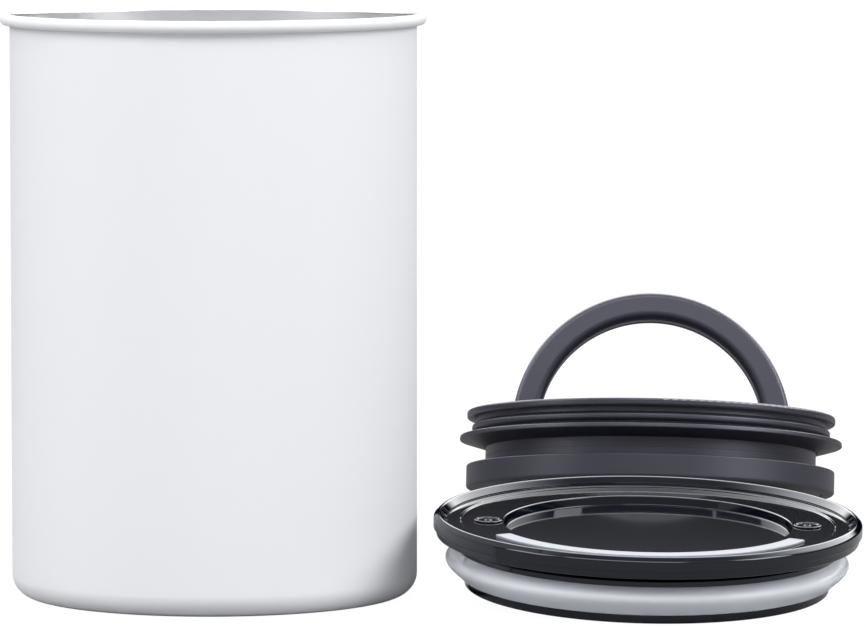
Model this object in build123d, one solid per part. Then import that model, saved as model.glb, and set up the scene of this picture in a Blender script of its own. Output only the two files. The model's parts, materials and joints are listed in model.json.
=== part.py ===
from build123d import *
import math
import os

# Food canister with a vented plunger lid and a snap-on outer lid.
# Millimetres, +Z up. The origin is the centre of the canister's foot, on the table.
# The front, from which the three pieces are seen side by side, looks toward -Y.

os.makedirs("parts", exist_ok=True)

# General clearances and overruns
overrun = 1.0
assembly_gap = 0.05
running_gap = 0.06
free_gap = 0.3

# Canister: one deep-drawn cup with an outward curled rim
canister_radius = 60.325
canister_height = 173.3
sheet_thickness = 0.6
foot_corner_radius = 6.8
foot_bead_inner_radius = 36.0
foot_bead_outer_radius = 46.0
foot_bead_height = 1.2
foot_bead_slope = 2.0
curl_mid_radius = 1.42
curl_sweep = 300

# Inner lid: sizes of its rings, from the bottom up
mouth_clearance = 0.125
band_height = 7.4
band_wall = 4.0
band_edge = 0.5
band_ledge = 6.1
neck_joint_rise = 2.8
inner_lid_height = 25.0
top_flange_thickness = 2.4
top_flange_clearance = 0.075
collar_height = 1.5
collar_reach = 3.5
wiper_height = 10.4
wiper_reach = 2.2
wiper_tip_drop = 4.9
wiper_tip_thickness = 1.7
wiper_groove_reach = 3.3
wiper_rib_height = 3.2
wiper_rib_reach = 4.5
edge_radius = 0.7

# Inner lid: deck, walls and base
recess_wall = 2.9
deck_rise = 0.4
deck_thickness = 2.2
base_lift = 0.4
base_thickness = 2.0
base_wall = 2.4
spigot_depth = 5.0
spigot_wall = 2.9
o_ring_section = 0.9
vent_count = 8
vent_radius = 2.0
vent_circle_radius = 21.0
vent_start_angle = 22.5

# Screws that hold the base to the body
base_screw_count = 6
base_screw_start_angle = 30.0
base_screw_inset = 12.5
screw_post_radius = 3.4
base_screw_shank = 1.25
base_screw_head = 2.5
base_screw_head_height = 1.4
base_screw_length = 7.0
drive_slot_width = 0.6
drive_slot_depth = 0.7

# Handle: half ring that folds back into the recess
handle_side_gap = 5.5
handle_width = 8.7
handle_thickness = 9.0
handle_corner = 1.6
handle_grip_round = 3.6
handle_groove_half = 0.5
handle_groove_depth = 0.6
handle_hub_radius = 5.1
handle_hub_overhang = 0.3
handle_pivot_depth = 5.2
handle_rest_lean = 5.0
handle_flat_angle = 90.0

# Cross shaft and its bearings
shaft_radius = 1.5
shaft_end_margin = 1.0
bush_wall = 1.1
bush_flange_radius = 3.6
bush_flange_thickness = 0.7
bush_end_margin = 0.6
block_half_width = 7.6
block_screw_offset = 5.2
bearing_cap_height = 3.6
cap_screw_shank = 0.9
cap_screw_head = 1.7
cap_screw_head_height = 1.0
cap_screw_length = 7.0
pin_radius = 0.6
cam_pin_radius = 0.4

# Valve: eccentric cam, follower, plunger, disc, seat and spring
valve_lift = 1.6
cam_radius = 3.4
cam_width = 4.6
cam_gap = 0.15
follower_radius = 5.2
follower_thickness = 1.8
follower_neck = 3.4
stem_radius = 2.0
guide_wall = 1.2
guide_flange_radius = 4.4
guide_flange_thickness = 0.8
guide_height = 1.4
seat_bore_radius = 6.0
seat_radius = 9.4
seat_height = 1.6
seat_rib_height = 0.5
seat_rib_width = 0.9
seal_gap = 0.1
disc_radius = 8.8
disc_thickness = 1.2
plunger_flange_radius = 8.2
plunger_flange_thickness = 1.2
retainer_radius = 3.9
retainer_thickness = 1.0
spring_wire_radius = 0.3
spring_mid_radius = 3.0
spring_turns = 5.5

# Valve cup below the base, with its screen, and the cover above the deck
cup_radius = 13.6
cup_wall = 1.4
cup_depth = 6.0
cup_flange_radius = 17.0
cup_flange_thickness = 1.4
cup_slot_count = 6
cup_slot_radius = 1.7
cup_slot_circle = 8.2
cup_screw_circle = 15.3
cup_screw_count = 3
cup_screw_start_angle = 90.0
screen_thickness = 0.4
screen_hole_radius = 0.6
screen_hole_pitch = 2.9
screen_ring_count = 3
screen_ring_pitch = 2.2
cover_radius = 8.4
cover_wall = 1.2
cover_top_wall = 0.8
cover_flange_radius = 13.0
cover_flange_thickness = 1.6
cover_screw_count = 4
cover_screw_start_angle = 45.0
cover_screw_circle = 10.8
cover_screw_length = 4.2

# Outer lid: tinted shell with a soft seal round its skirt
outer_lid_height = 21.6
outer_wall = 2.0
outer_flange_reach = 3.025
outer_flange_height = 5.2
outer_flange_step = 0.9
outer_flange_step_rise = 2.1
rim_fall = 1.6
rim_crest_inset = 1.75
rim_width = 3.9
rim_inner_fall = 2.0
rim_step = 0.4
shelf_inset = 4.3
shelf_drop = 2.8
shelf_width = 13.0
floor_drop = 2.7
floor_wall_draft = 0.4
skirt_clearance = 6.525
skirt_ring_reach = 0.67
skirt_ring_height = 2.6
ledge_reach = 3.3
ledge_height = 1.7
seal_bottom = 2.8
seal_top = 11.2
seal_crest_height = 7.6
seal_mouth_clearance = 0.1
seal_groove_depth = 0.6
seal_root_reach = 2.0
boss_inset = 8.0
boss_radius = 4.2
boss_height = 0.5
boss_rim = 0.7
strip_inset = 6.6
strip_half_width = 2.6
strip_depth = 0.6
strip_proud = 0.7
strip_half_angle = 61.0

# Places of the two lids beside the canister, each resting on one edge of its foot
inner_lid_place_x = 135.3
inner_lid_place_y = 173.1
inner_lid_lean_back = 11.0
inner_lid_lean_right = 1.3
outer_lid_place_x = 128.2
outer_lid_place_y = -17.4
outer_lid_lean_back = -4.7
outer_lid_lean_right = 1.0

# Sizes that follow from the ones above
mouth_radius = canister_radius - sheet_thickness
band_radius = mouth_radius - mouth_clearance
neck_radius = band_radius - band_ledge
neck_joint_height = band_height + neck_joint_rise
recess_radius = neck_radius - recess_wall
top_flange_radius = mouth_radius - top_flange_clearance
top_flange_bottom = inner_lid_height - top_flange_thickness
collar_radius = neck_radius + collar_reach
wiper_rib_top = top_flange_bottom - collar_height
wiper_rib_radius = neck_radius + wiper_rib_reach
wiper_groove_radius = neck_radius + wiper_groove_reach
wiper_groove_height = wiper_rib_top - wiper_rib_height
wiper_tip_height = wiper_rib_top - wiper_tip_drop
wiper_bottom = wiper_rib_top - wiper_height
wiper_lip_radius = mouth_radius + wiper_reach
base_radius = band_radius - band_wall
base_screw_circle = neck_radius - base_screw_inset
deck_top = neck_joint_height + deck_rise
deck_bottom = deck_top - deck_thickness
base_top = base_lift + base_thickness
spigot_radius = neck_radius - base_wall - assembly_gap
spigot_bottom = neck_joint_height - spigot_depth
handle_outer_radius = recess_radius - handle_side_gap
handle_inner_radius = handle_outer_radius - handle_width
handle_middle_radius = (handle_outer_radius + handle_inner_radius) / 2
handle_pivot_height = inner_lid_height - handle_pivot_depth
fold_travel = handle_flat_angle - handle_rest_lean
cam_offset = valve_lift / (2 * math.sin(math.radians(fold_travel / 2)))
cam_low_reach = cam_radius - valve_lift / 2
follower_top = handle_pivot_height - cam_low_reach - cam_gap
base_screw_tip = base_lift + base_screw_head_height + base_screw_length
guide_radius = stem_radius + running_gap + guide_wall
seat_bottom = base_lift
seat_top = seat_bottom + seat_height
disc_bottom = seat_top + valve_lift + seal_gap
disc_top = disc_bottom + disc_thickness
cup_floor_bottom = base_lift - cup_depth
cup_floor_top = cup_floor_bottom + cup_wall
screen_top = cup_floor_top + assembly_gap + screen_thickness
hub_face = handle_outer_radius + handle_hub_overhang
block_inner_face = hub_face + bush_flange_thickness + free_gap
bush_radius = shaft_radius + running_gap + bush_wall
bush_end = recess_radius - bush_end_margin
shaft_half_length = recess_radius - shaft_end_margin
bearing_cap_top = handle_pivot_height + bearing_cap_height
cover_top = handle_pivot_height + valve_lift / 2 + cam_radius + free_gap + cover_top_wall
outer_flange_radius = canister_radius + outer_flange_reach
outer_flange_top = outer_lid_height - rim_fall
outer_flange_bottom = outer_lid_height - rim_fall - outer_flange_height
outer_flange_step_height = outer_flange_bottom + outer_flange_step_rise
rim_crest_radius = outer_flange_radius - rim_crest_inset
rim_inner_radius = outer_flange_radius - rim_width
rim_inner_height = outer_lid_height - rim_inner_fall
shelf_radius = rim_inner_radius - shelf_inset
shelf_height = outer_lid_height - shelf_drop
floor_edge_radius = shelf_radius - shelf_width
floor_height = shelf_height - floor_drop
skirt_radius = mouth_radius - skirt_clearance
skirt_ring_radius = skirt_radius + skirt_ring_reach
ledge_radius = skirt_radius + ledge_reach
seal_crest_radius = mouth_radius - seal_mouth_clearance
seal_root_radius = skirt_radius + seal_root_reach
boss_offset = shelf_radius - boss_inset
strip_radius = shelf_radius - strip_inset


# How a rod stands on its place
upright = (Align.CENTER, Align.CENTER, Align.MIN)


def profile(*lines):
    """Closed outline in radius and height, as a face that can be turned about Z."""
    edges = [edge for line in lines for edge in line.edges()]
    return Plane.XZ * make_face(edges)


def turned(*lines):
    return revolve(profile(*lines), Axis.Z)


def turned_points(*points):
    return turned(Polyline(*points, points[0]))


def rod(radius, bottom, top):
    height = top - bottom
    return Pos(0, 0, bottom) * Cylinder(radius, height, align=upright)


def tube(outer, inner, bottom, top):
    return rod(outer, bottom, top) - rod(inner, bottom - overrun, top + overrun)


def around(count, radius, start=0.0):
    """Places on a circle about Z."""
    step = math.tau / count
    first = math.radians(start)
    spots = [first + step * number for number in range(count)]
    return [Pos(radius * math.cos(spot), radius * math.sin(spot), 0) for spot in spots]


def cross_rod(radius, left, right):
    """Rod along X, centred on the pivot axis."""
    length = right - left
    return Pos(left, 0, handle_pivot_height) * Rot(0, 90, 0) * Cylinder(radius, length, align=upright)


def base_screw_spots():
    return around(base_screw_count, base_screw_circle, base_screw_start_angle)


def cup_screw_spots():
    return around(cup_screw_count, cup_screw_circle, cup_screw_start_angle)


def cover_screw_spots():
    return around(cover_screw_count, cover_screw_circle, cover_screw_start_angle)


def span(side, inner, outer):
    """Left and right ends of a stretch along X on one side of the middle."""
    return min(side * inner, side * outer), max(side * inner, side * outer)


def screw(shank, head, head_height, length):
    """Pan-head screw that points down, with the underside of its head at height zero."""
    body = rod(shank, -length, 0) + rod(head, 0, head_height)
    edge = body.edges().filter_by(GeomType.CIRCLE).group_by(Axis.Z)[-1]
    body = fillet(edge, head_height / 3)
    slot = Pos(0, 0, head_height) * Box(2 * head, drive_slot_width, 2 * drive_slot_depth)
    return body - slot


def resting(radius, place_x, place_y, lean_back, lean_right):
    """Place of a lid that leans, with the lowest point of its round foot on the table."""
    tilt_cosine = math.cos(math.radians(lean_back)) * math.cos(math.radians(lean_right))
    height = radius * math.sqrt(1 - tilt_cosine**2)
    return Pos(place_x, place_y, height) * Rot(0, lean_right, 0) * Rot(-lean_back, 0, 0)


def canister_body():
    """Drawn cup: flat foot with a stiffening bead, round corner, straight wall, curled rim."""
    wall_mid = canister_radius - sheet_thickness / 2
    outer_arc = curl_mid_radius + sheet_thickness / 2
    inner_arc = curl_mid_radius - sheet_thickness / 2
    centre = (wall_mid + curl_mid_radius, canister_height - outer_arc)
    corner = (canister_radius - foot_corner_radius, foot_corner_radius)
    bead_steps = (
        (foot_bead_inner_radius, 0),
        (foot_bead_inner_radius + foot_bead_slope, foot_bead_height),
        (foot_bead_outer_radius - foot_bead_slope, foot_bead_height),
        (foot_bead_outer_radius, 0),
    )
    under = Polyline((0, 0), *bead_steps, (corner[0], 0))
    outside_corner = CenterArc(corner, foot_corner_radius, -90, 90)
    outside_wall = Line((canister_radius, foot_corner_radius), (canister_radius, centre[1]))
    curl_inside = CenterArc(centre, inner_arc, 180, -curl_sweep)
    curl_outside = CenterArc(centre, outer_arc, 180, -curl_sweep)
    curl_edge = Line(curl_inside @ 1, curl_outside @ 1)
    inside_wall = Line((mouth_radius, centre[1]), (mouth_radius, foot_corner_radius))
    inside_corner = CenterArc(corner, foot_corner_radius - sheet_thickness, -90, 90)
    upper_steps = [(radius, height + sheet_thickness) for radius, height in reversed(bead_steps)]
    floor_line = Polyline((corner[0], sheet_thickness), *upper_steps, (0, sheet_thickness))
    middle = Line((0, sheet_thickness), (0, 0))
    return turned(
        under, outside_corner, outside_wall, curl_inside, curl_edge, curl_outside,
        inside_wall, inside_corner, floor_line, middle)


def top_round(shape, radius_size):
    """Rounds the topmost circular edges of a turned piece."""
    edges = shape.edges().filter_by(GeomType.CIRCLE).group_by(Axis.Z)[-1]
    return fillet(edges, radius_size)


def bearing_block(side):
    """Lower half of a bearing, moulded with the deck, cut to the round wall of the recess."""
    length = recess_radius + overrun - block_inner_face
    bottom = (neck_joint_height + deck_top) / 2
    block = Pos(side * block_inner_face, 0, bottom) * Box(
        length, 2 * block_half_width, handle_pivot_height - bottom,
        align=(Align.MIN if side > 0 else Align.MAX, Align.CENTER, Align.MIN))
    block = block & rod(recess_radius + overrun, bottom, handle_pivot_height)
    for offset in (-block_screw_offset, block_screw_offset):
        hole = rod(cap_screw_shank + assembly_gap, -cap_screw_length - overrun, 0)
        block -= cap_screw_spot(side, offset) * hole
    return block


def block_middle():
    return (block_inner_face + recess_radius) / 2


def cap_screw_spot(side, offset):
    return Pos(side * block_middle(), offset, bearing_cap_top)


def inner_lid_body():
    """Upper moulding: top flange, collar, neck, recessed deck and the spigot below it."""
    body = turned_points(
        (0, deck_bottom),
        (spigot_radius - spigot_wall, deck_bottom),
        (spigot_radius - spigot_wall, spigot_bottom),
        (spigot_radius, spigot_bottom),
        (spigot_radius, neck_joint_height),
        (neck_radius, neck_joint_height),
        (neck_radius, wiper_rib_top),
        (collar_radius, wiper_rib_top),
        (collar_radius, top_flange_bottom),
        (top_flange_radius, top_flange_bottom),
        (top_flange_radius, inner_lid_height),
        (recess_radius, inner_lid_height),
        (recess_radius, deck_top),
        (0, deck_top),
    )
    body = top_round(body, edge_radius)
    flange_under = body.edges().filter_by(GeomType.CIRCLE).filter_by(
        lambda edge: abs(edge.radius - top_flange_radius) < assembly_gap)
    body = fillet(flange_under.group_by(Axis.Z)[0], edge_radius)
    for side in (-1, 1):
        body += bearing_block(side)
    for spot in base_screw_spots():
        body += spot * rod(screw_post_radius, base_top + assembly_gap, deck_bottom + assembly_gap)
        body -= spot * rod(base_screw_shank + assembly_gap, base_lift, base_screw_tip + assembly_gap)
    for spot in around(vent_count, vent_circle_radius, vent_start_angle):
        body -= spot * rod(vent_radius, deck_bottom - overrun, deck_top + overrun)
    for spot in cover_screw_spots():
        body -= spot * rod(cap_screw_shank + assembly_gap, deck_bottom - overrun, deck_top + overrun)
    body -= rod(guide_radius + assembly_gap, deck_bottom - overrun, deck_top + overrun)
    for side in (-1, 1):
        body -= cross_rod(bush_radius + assembly_gap, *span(side, block_inner_face - overrun, bush_end))
    groove = turned_points(
        (spigot_radius - o_ring_depth(), o_ring_height() - o_ring_section),
        (spigot_radius + overrun, o_ring_height() - o_ring_section),
        (spigot_radius + overrun, o_ring_height() + o_ring_section),
        (spigot_radius - o_ring_depth(), o_ring_height() + o_ring_section),
    )
    return body - groove


def o_ring_depth():
    return 2 * o_ring_section - assembly_gap


def o_ring_height():
    return spigot_bottom + spigot_depth / 2


def body_o_ring():
    """Seal between the spigot and the base wall."""
    section = Pos(spigot_radius - o_ring_section, o_ring_height()) * Circle(o_ring_section - assembly_gap)
    return revolve(Plane.XZ * section, Axis.Z)


def inner_lid_base():
    """Lower moulding: floor plate, rim that carries the band, wall round the spigot."""
    base = turned_points(
        (0, base_lift),
        (base_radius, base_lift),
        (base_radius, band_height - base_lift),
        (neck_radius, band_height - base_lift),
        (neck_radius, neck_joint_height - assembly_gap),
        (neck_radius - base_wall, neck_joint_height - assembly_gap),
        (neck_radius - base_wall, base_top),
        (0, base_top),
    )
    for spot in base_screw_spots():
        base -= spot * rod(base_screw_shank + assembly_gap, 0, base_top + overrun)
        base -= spot * rod(base_screw_head + assembly_gap, 0, base_lift + base_screw_head_height)
    for spot in cup_screw_spots():
        base -= spot * rod(cap_screw_shank + assembly_gap, 0, base_top + overrun)
    base -= rod(seat_radius + assembly_gap, 0, base_top + overrun)
    return base


def band_gasket():
    """Broad rubber band round the base, with small rounded edges."""
    inner = base_radius + assembly_gap
    face = band_radius - band_edge
    rim_top = band_height - base_lift + assembly_gap
    return turned_points(
        (inner, 0),
        (face, 0),
        (band_radius, band_edge),
        (band_radius, band_height - band_edge / 2),
        (band_radius - band_edge / 2, band_height),
        (neck_radius + assembly_gap, band_height),
        (neck_radius + assembly_gap, rim_top),
        (inner, rim_top),
    )


def wiper_gasket():
    """Rubber ring in the collar groove: round rib above, tapered wiping lip below."""
    inner = neck_radius + assembly_gap
    rib_half = (wiper_rib_top - wiper_groove_height) / 2
    rib_edge = rib_half / 2
    tip_inner = wiper_lip_radius - wiper_tip_thickness / 2
    return turned_points(
        (inner, wiper_bottom),
        (tip_inner, wiper_tip_height - wiper_tip_thickness / 2),
        (wiper_lip_radius, wiper_tip_height),
        (tip_inner, wiper_tip_height + wiper_tip_thickness / 2),
        (wiper_groove_radius, wiper_groove_height),
        (wiper_rib_radius - rib_edge, wiper_groove_height + rib_edge / 2),
        (wiper_rib_radius, wiper_groove_height + rib_half),
        (wiper_rib_radius - rib_edge / 2, wiper_rib_top - rib_edge),
        (wiper_rib_radius - rib_half, wiper_rib_top - assembly_gap),
        (inner, wiper_rib_top - assembly_gap),
    )


def base_screws():
    """Screws from below, with their heads sunk in the base plate."""
    one = Pos(0, 0, base_lift + base_screw_head_height) * Rot(180, 0, 0) * screw(
        base_screw_shank, base_screw_head, base_screw_head_height, base_screw_length)
    return [spot * one for spot in base_screw_spots()]


def valve_seat():
    """Ring in the base plate with the raised rib that the disc closes on."""
    rib_inner = seat_bore_radius + seat_rib_width
    return turned_points(
        (seat_bore_radius, seat_bottom),
        (seat_radius, seat_bottom),
        (seat_radius, seat_top - seat_rib_height),
        (rib_inner + seat_rib_width, seat_top - seat_rib_height),
        (rib_inner + seat_rib_width / 2, seat_top),
        (rib_inner, seat_top),
        (seat_bore_radius, seat_top - seat_rib_height),
    )


def valve_cup():
    """Cup under the base that carries the spring and the screen, vented through its floor."""
    flange_top = base_lift - assembly_gap
    cup = tube(cup_radius, cup_radius - cup_wall, cup_floor_bottom, flange_top)
    cup += rod(cup_radius, cup_floor_bottom, cup_floor_top)
    cup += tube(cup_flange_radius, cup_radius - cup_wall, flange_top - cup_flange_thickness, flange_top)
    cup += rod(spring_post_radius(), cup_floor_bottom, spring_post_top())
    for spot in around(cup_slot_count, cup_slot_circle):
        cup -= spot * rod(cup_slot_radius, cup_floor_bottom - overrun, cup_floor_top + overrun)
    for spot in cup_screw_spots():
        cup -= spot * rod(cap_screw_shank + assembly_gap, cup_floor_bottom, flange_top + overrun)
    return cup


def spring_post_radius():
    return spring_mid_radius - spring_wire_radius - free_gap


def spring_post_top():
    return screen_top + 2 * spring_wire_radius


def cup_screws():
    """Three small screws that hold the cup's flange to the base."""
    head_seat = base_lift - assembly_gap - cup_flange_thickness - assembly_gap
    length = cup_flange_thickness + base_thickness
    one = Pos(0, 0, head_seat) * Rot(180, 0, 0) * screw(
        cap_screw_shank, cap_screw_head, cap_screw_head_height, length)
    return [spot * one for spot in cup_screw_spots()]


def vent_screen():
    """Perforated disc on the cup floor that keeps grounds out of the valve."""
    bottom = cup_floor_top + assembly_gap
    outer = cup_radius - cup_wall - assembly_gap
    screen = tube(outer, spring_post_radius() + assembly_gap, bottom, screen_top)
    hole = rod(screen_hole_radius, bottom - overrun, screen_top + overrun)
    holes = []
    for ring in range(screen_ring_count):
        ring_radius = cup_radius - cup_wall - 2 * screen_hole_radius - ring * screen_ring_pitch
        count = round(math.tau * ring_radius / screen_hole_pitch)
        holes += [spot * hole for spot in around(count, ring_radius)]
    return screen - holes


def valve_plunger():
    """Stem with the flange that backs the sealing disc, and a tail that holds it."""
    flange_top = disc_top + assembly_gap + plunger_flange_thickness
    plunger = rod(stem_radius, disc_bottom - retainer_thickness, follower_top - follower_thickness / 2)
    plunger += rod(plunger_flange_radius, disc_top + assembly_gap, flange_top)
    return plunger


def valve_disc():
    """Soft disc that closes on the seat."""
    return tube(disc_radius, stem_radius + assembly_gap, disc_bottom, disc_top)


def disc_retainer():
    """Push-on washer under the disc, also the upper seat of the spring."""
    top = disc_bottom - assembly_gap
    return tube(retainer_radius, stem_radius + assembly_gap, top - retainer_thickness, top)


def cam_follower():
    """Cap on the stem that the cam presses."""
    head = rod(follower_radius, follower_top - follower_thickness, follower_top)
    head = top_round(head, follower_thickness / 4)
    neck_bottom = follower_top - 2 * follower_thickness
    head += rod(follower_neck, neck_bottom, follower_top - follower_thickness)
    socket_top = follower_top - follower_thickness / 2 + assembly_gap
    return head - rod(stem_radius + assembly_gap, neck_bottom - overrun, socket_top)


def plunger_guide():
    """Flanged bush in the deck in which the stem runs."""
    bush = rod(guide_radius, deck_bottom - guide_height, deck_top + assembly_gap)
    flange_bottom = deck_top + assembly_gap
    bush += rod(guide_flange_radius, flange_bottom, flange_bottom + guide_flange_thickness)
    bore_bottom = deck_bottom - guide_height - overrun
    return bush - rod(stem_radius + running_gap, bore_bottom, flange_bottom + 2 * guide_flange_thickness)


def valve_spring():
    """Coil spring that lifts the plunger when the handle stands up."""
    bottom = screen_top + spring_wire_radius + assembly_gap
    top = disc_bottom - assembly_gap - retainer_thickness - spring_wire_radius - assembly_gap
    height = top - bottom
    path = Pos(0, 0, bottom) * Helix(height / spring_turns, height, spring_mid_radius)
    start = path @ 0
    section = Plane(origin=start, z_dir=path % 0) * Circle(spring_wire_radius)
    return sweep(section, path=path, is_frenet=True)


def valve_cover():
    """Cap over the cam, open to the shaft from below, with a screwed flange."""
    inner_top = cover_top - cover_top_wall
    bottom = deck_top + assembly_gap
    cover = rod(cover_radius, bottom, cover_top)
    cover = top_round(cover, edge_radius)
    cover += rod(cover_flange_radius, bottom, bottom + cover_flange_thickness)
    cover -= rod(cover_radius - cover_wall, bottom - overrun, inner_top)
    slot_half = shaft_radius + free_gap
    reach = 2 * (cover_flange_radius + overrun)
    slot = Pos(0, 0, bottom - overrun) * Box(
        reach, 2 * slot_half, handle_pivot_height - bottom + overrun,
        align=upright)
    slot += cross_rod(slot_half, -reach / 2, reach / 2)
    cover -= slot & rod(cover_radius + overrun, bottom + cover_flange_thickness, cover_top)
    hole = rod(cap_screw_shank + assembly_gap, bottom - overrun, bottom + 2 * cover_flange_thickness)
    for spot in cover_screw_spots():
        cover -= spot * hole
    return cover


def cover_screws():
    """Four screws that hold the valve cover to the deck."""
    seat = deck_top + 2 * assembly_gap + cover_flange_thickness
    one = Pos(0, 0, seat) * screw(
        cap_screw_shank, cap_screw_head, cap_screw_head_height, cover_screw_length)
    return [spot * one for spot in cover_screw_spots()]


def handle_frame():
    """Place of the handle's own axes, leaning back about the pivot."""
    return Pos(0, 0, handle_pivot_height) * Rot(-handle_rest_lean, 0, 0)


def handle():
    """Half-ring grip with a round hub at each foot, fuller rounding where the fingers pull."""
    section = Pos(handle_middle_radius, 0) * Rectangle(handle_width, handle_thickness)
    inner_corners = section.vertices().group_by(Axis.X)[0].sort_by(Axis.Y)
    section = fillet(inner_corners[0], handle_grip_round)
    sharp_corners = [
        corner for corner in section.vertices()
        if abs(abs(corner.Y) - handle_thickness / 2) < assembly_gap
        and min(corner.X - handle_inner_radius, handle_outer_radius - corner.X) < assembly_gap]
    section = fillet(sharp_corners, handle_corner)
    section -= Pos(handle_inner_radius, handle_thickness / 6) * Rectangle(
        2 * handle_groove_depth, 2 * handle_groove_half)
    grip = revolve(section, Axis.Y, -180)
    hub_inner = handle_inner_radius - handle_hub_overhang
    hub_length = hub_face - hub_inner
    for side in (-1, 1):
        hub = Rot(0, 90, 0) * Cylinder(handle_hub_radius, hub_length)
        grip += Pos(side * (hub_inner + hub_length / 2), 0, 0) * hub
    bore = Rot(0, 90, 0) * Cylinder(shaft_radius + assembly_gap, 4 * handle_outer_radius)
    grip -= bore
    for side in (-1, 1):
        grip -= Pos(side * handle_middle_radius, 0, 0) * Rot(90, 0, 0) * Cylinder(
            pin_radius + assembly_gap, 4 * handle_hub_radius)
    return handle_frame() * grip


def cross_shaft():
    """Steel shaft through both hubs and the cam, cross-drilled for its pins."""
    shaft = Rot(0, 90, 0) * Cylinder(shaft_radius, 2 * shaft_half_length)
    for side in (-1, 1):
        shaft -= Pos(side * handle_middle_radius, 0, 0) * Rot(90, 0, 0) * Cylinder(
            pin_radius + assembly_gap, 4 * shaft_radius)
    shaft = handle_frame() * shaft
    hole = Pos(0, 0, handle_pivot_height) * Rot(fold_travel / 2, 0, 0) * Rot(90, 0, 0) * Cylinder(
        cam_pin_radius + assembly_gap, 4 * shaft_radius)
    return shaft - hole


def cam_centre():
    half = math.radians(fold_travel / 2)
    return (0, cam_offset * math.cos(half), handle_pivot_height + cam_offset * math.sin(half))


def valve_cam():
    """Eccentric disc on the shaft: its low side faces the follower while the handle stands."""
    cam = Pos(*cam_centre()) * Rot(0, 90, 0) * Cylinder(cam_radius, cam_width)
    cam -= cross_rod(shaft_radius + assembly_gap, -cam_width, cam_width)
    cam -= Pos(0, 0, handle_pivot_height) * Rot(fold_travel / 2, 0, 0) * Rot(90, 0, 0) * Cylinder(
        cam_pin_radius + assembly_gap, 4 * cam_radius)
    return cam


def shaft_pins():
    """Cross pins that key both hubs and the cam to the shaft."""
    pins = []
    for side in (-1, 1):
        pin = Rot(90, 0, 0) * Cylinder(pin_radius, 2 * handle_hub_radius - overrun)
        pins.append(handle_frame() * Pos(side * handle_middle_radius, 0, 0) * pin)
    cam_pin = Pos(*cam_centre()) * Rot(fold_travel / 2, 0, 0) * Rot(90, 0, 0) * Cylinder(
        cam_pin_radius, 2 * cam_radius - overrun)
    pins.append(cam_pin)
    return pins


def shaft_bush(side):
    """Flanged bush in which one end of the shaft turns."""
    flange_inner = block_inner_face - bush_flange_thickness
    face = block_inner_face - assembly_gap
    bush = cross_rod(bush_radius, *span(side, face, bush_end - assembly_gap))
    bush += cross_rod(bush_flange_radius, *span(side, flange_inner, face))
    return bush - cross_rod(shaft_radius + running_gap, -recess_radius, recess_radius)


def bearing_cap(side):
    """Upper half of a bearing, screwed down over the bush."""
    length = recess_radius - block_inner_face
    cap = Pos(side * block_inner_face, 0, handle_pivot_height + assembly_gap) * Box(
        length, 2 * block_half_width, bearing_cap_height - assembly_gap,
        align=(Align.MIN if side > 0 else Align.MAX, Align.CENTER, Align.MIN))
    cap = cap & rod(recess_radius - assembly_gap, handle_pivot_height, bearing_cap_top)
    cap -= cross_rod(bush_radius + assembly_gap, -recess_radius - overrun, recess_radius + overrun)
    for offset in (-block_screw_offset, block_screw_offset):
        hole = rod(cap_screw_shank + assembly_gap, -bearing_cap_height - overrun, overrun)
        cap -= cap_screw_spot(side, offset) * hole
    return cap


def bearing_cap_screws():
    """Two screws in each bearing cap."""
    one = screw(cap_screw_shank, cap_screw_head, cap_screw_head_height, cap_screw_length)
    lift = Pos(0, 0, assembly_gap)
    offsets = (-block_screw_offset, block_screw_offset)
    return [lift * cap_screw_spot(side, offset) * one for side in (-1, 1) for offset in offsets]


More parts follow.
